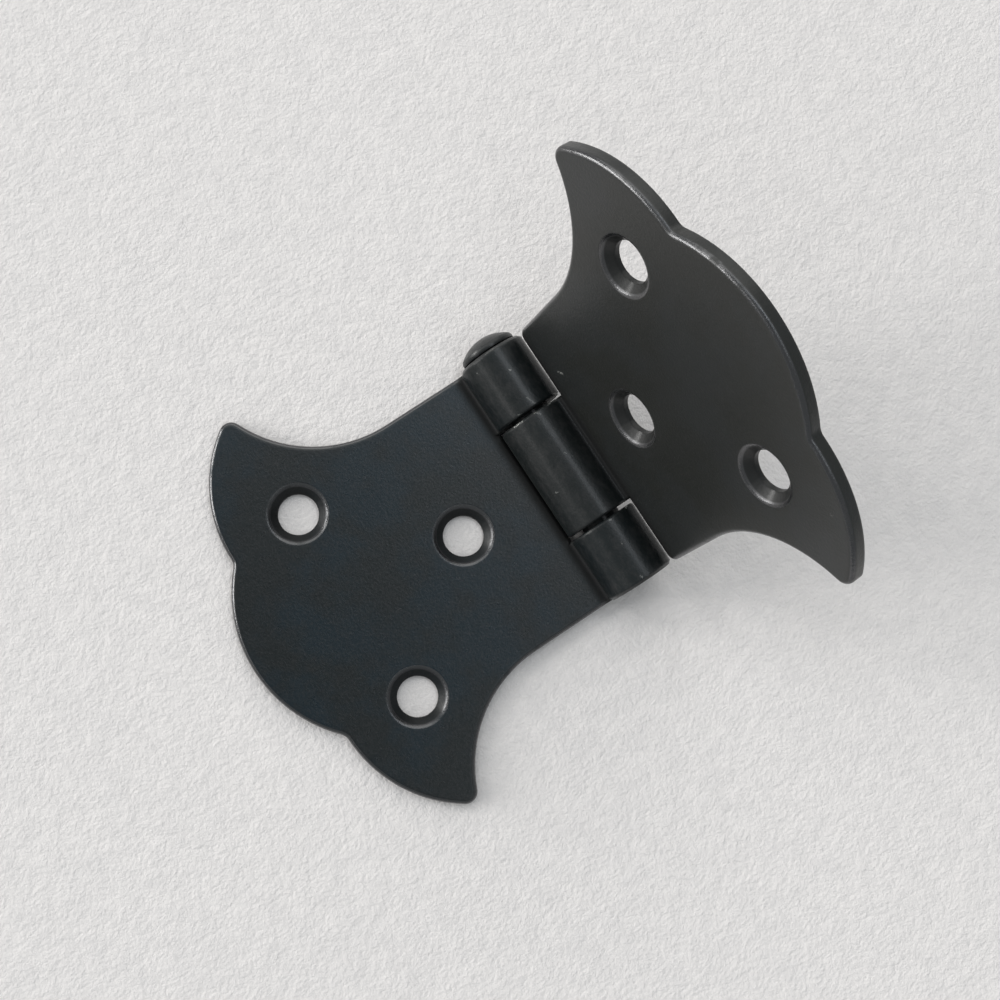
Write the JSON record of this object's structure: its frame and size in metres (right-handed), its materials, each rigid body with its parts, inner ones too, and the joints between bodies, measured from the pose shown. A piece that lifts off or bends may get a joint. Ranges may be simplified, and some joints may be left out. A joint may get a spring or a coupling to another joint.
{
  "type": "butterfly hinge",
  "caption": "Surface-mounted butterfly hinge: scalloped stamped-steel leaves with countersunk screw holes, rolled knuckles and a headed pin, in satin black.",
  "frame": {"origin": "on the pin's axis, halfway along the barrel", "axes": "+Y along the pin towards its head, -Z out of the left leaf's back face, -X out along the left leaf; the right leaf is on the +X side, swung up 70 degrees from flat"},
  "size_m": [0.0538, 0.0458, 0.0381],
  "materials": {
    "painted_steel": "satin",
    "painted_pin": "satin"
  },
  "bodies": {
    "left_leaf_body": {"left_leaf": "painted_steel", "hinge_pin": "painted_pin"},
    "right_leaf_body": {"right_leaf": "painted_steel"}
  },
  "joints": [
    {"name": "leaf_swing", "type": "hinge", "parent": "left_leaf_body", "child": "right_leaf_body", "pos_m": [0, 0, 0], "axis": [0, -1, 0], "range_deg": [-70, 110]}
  ]
}
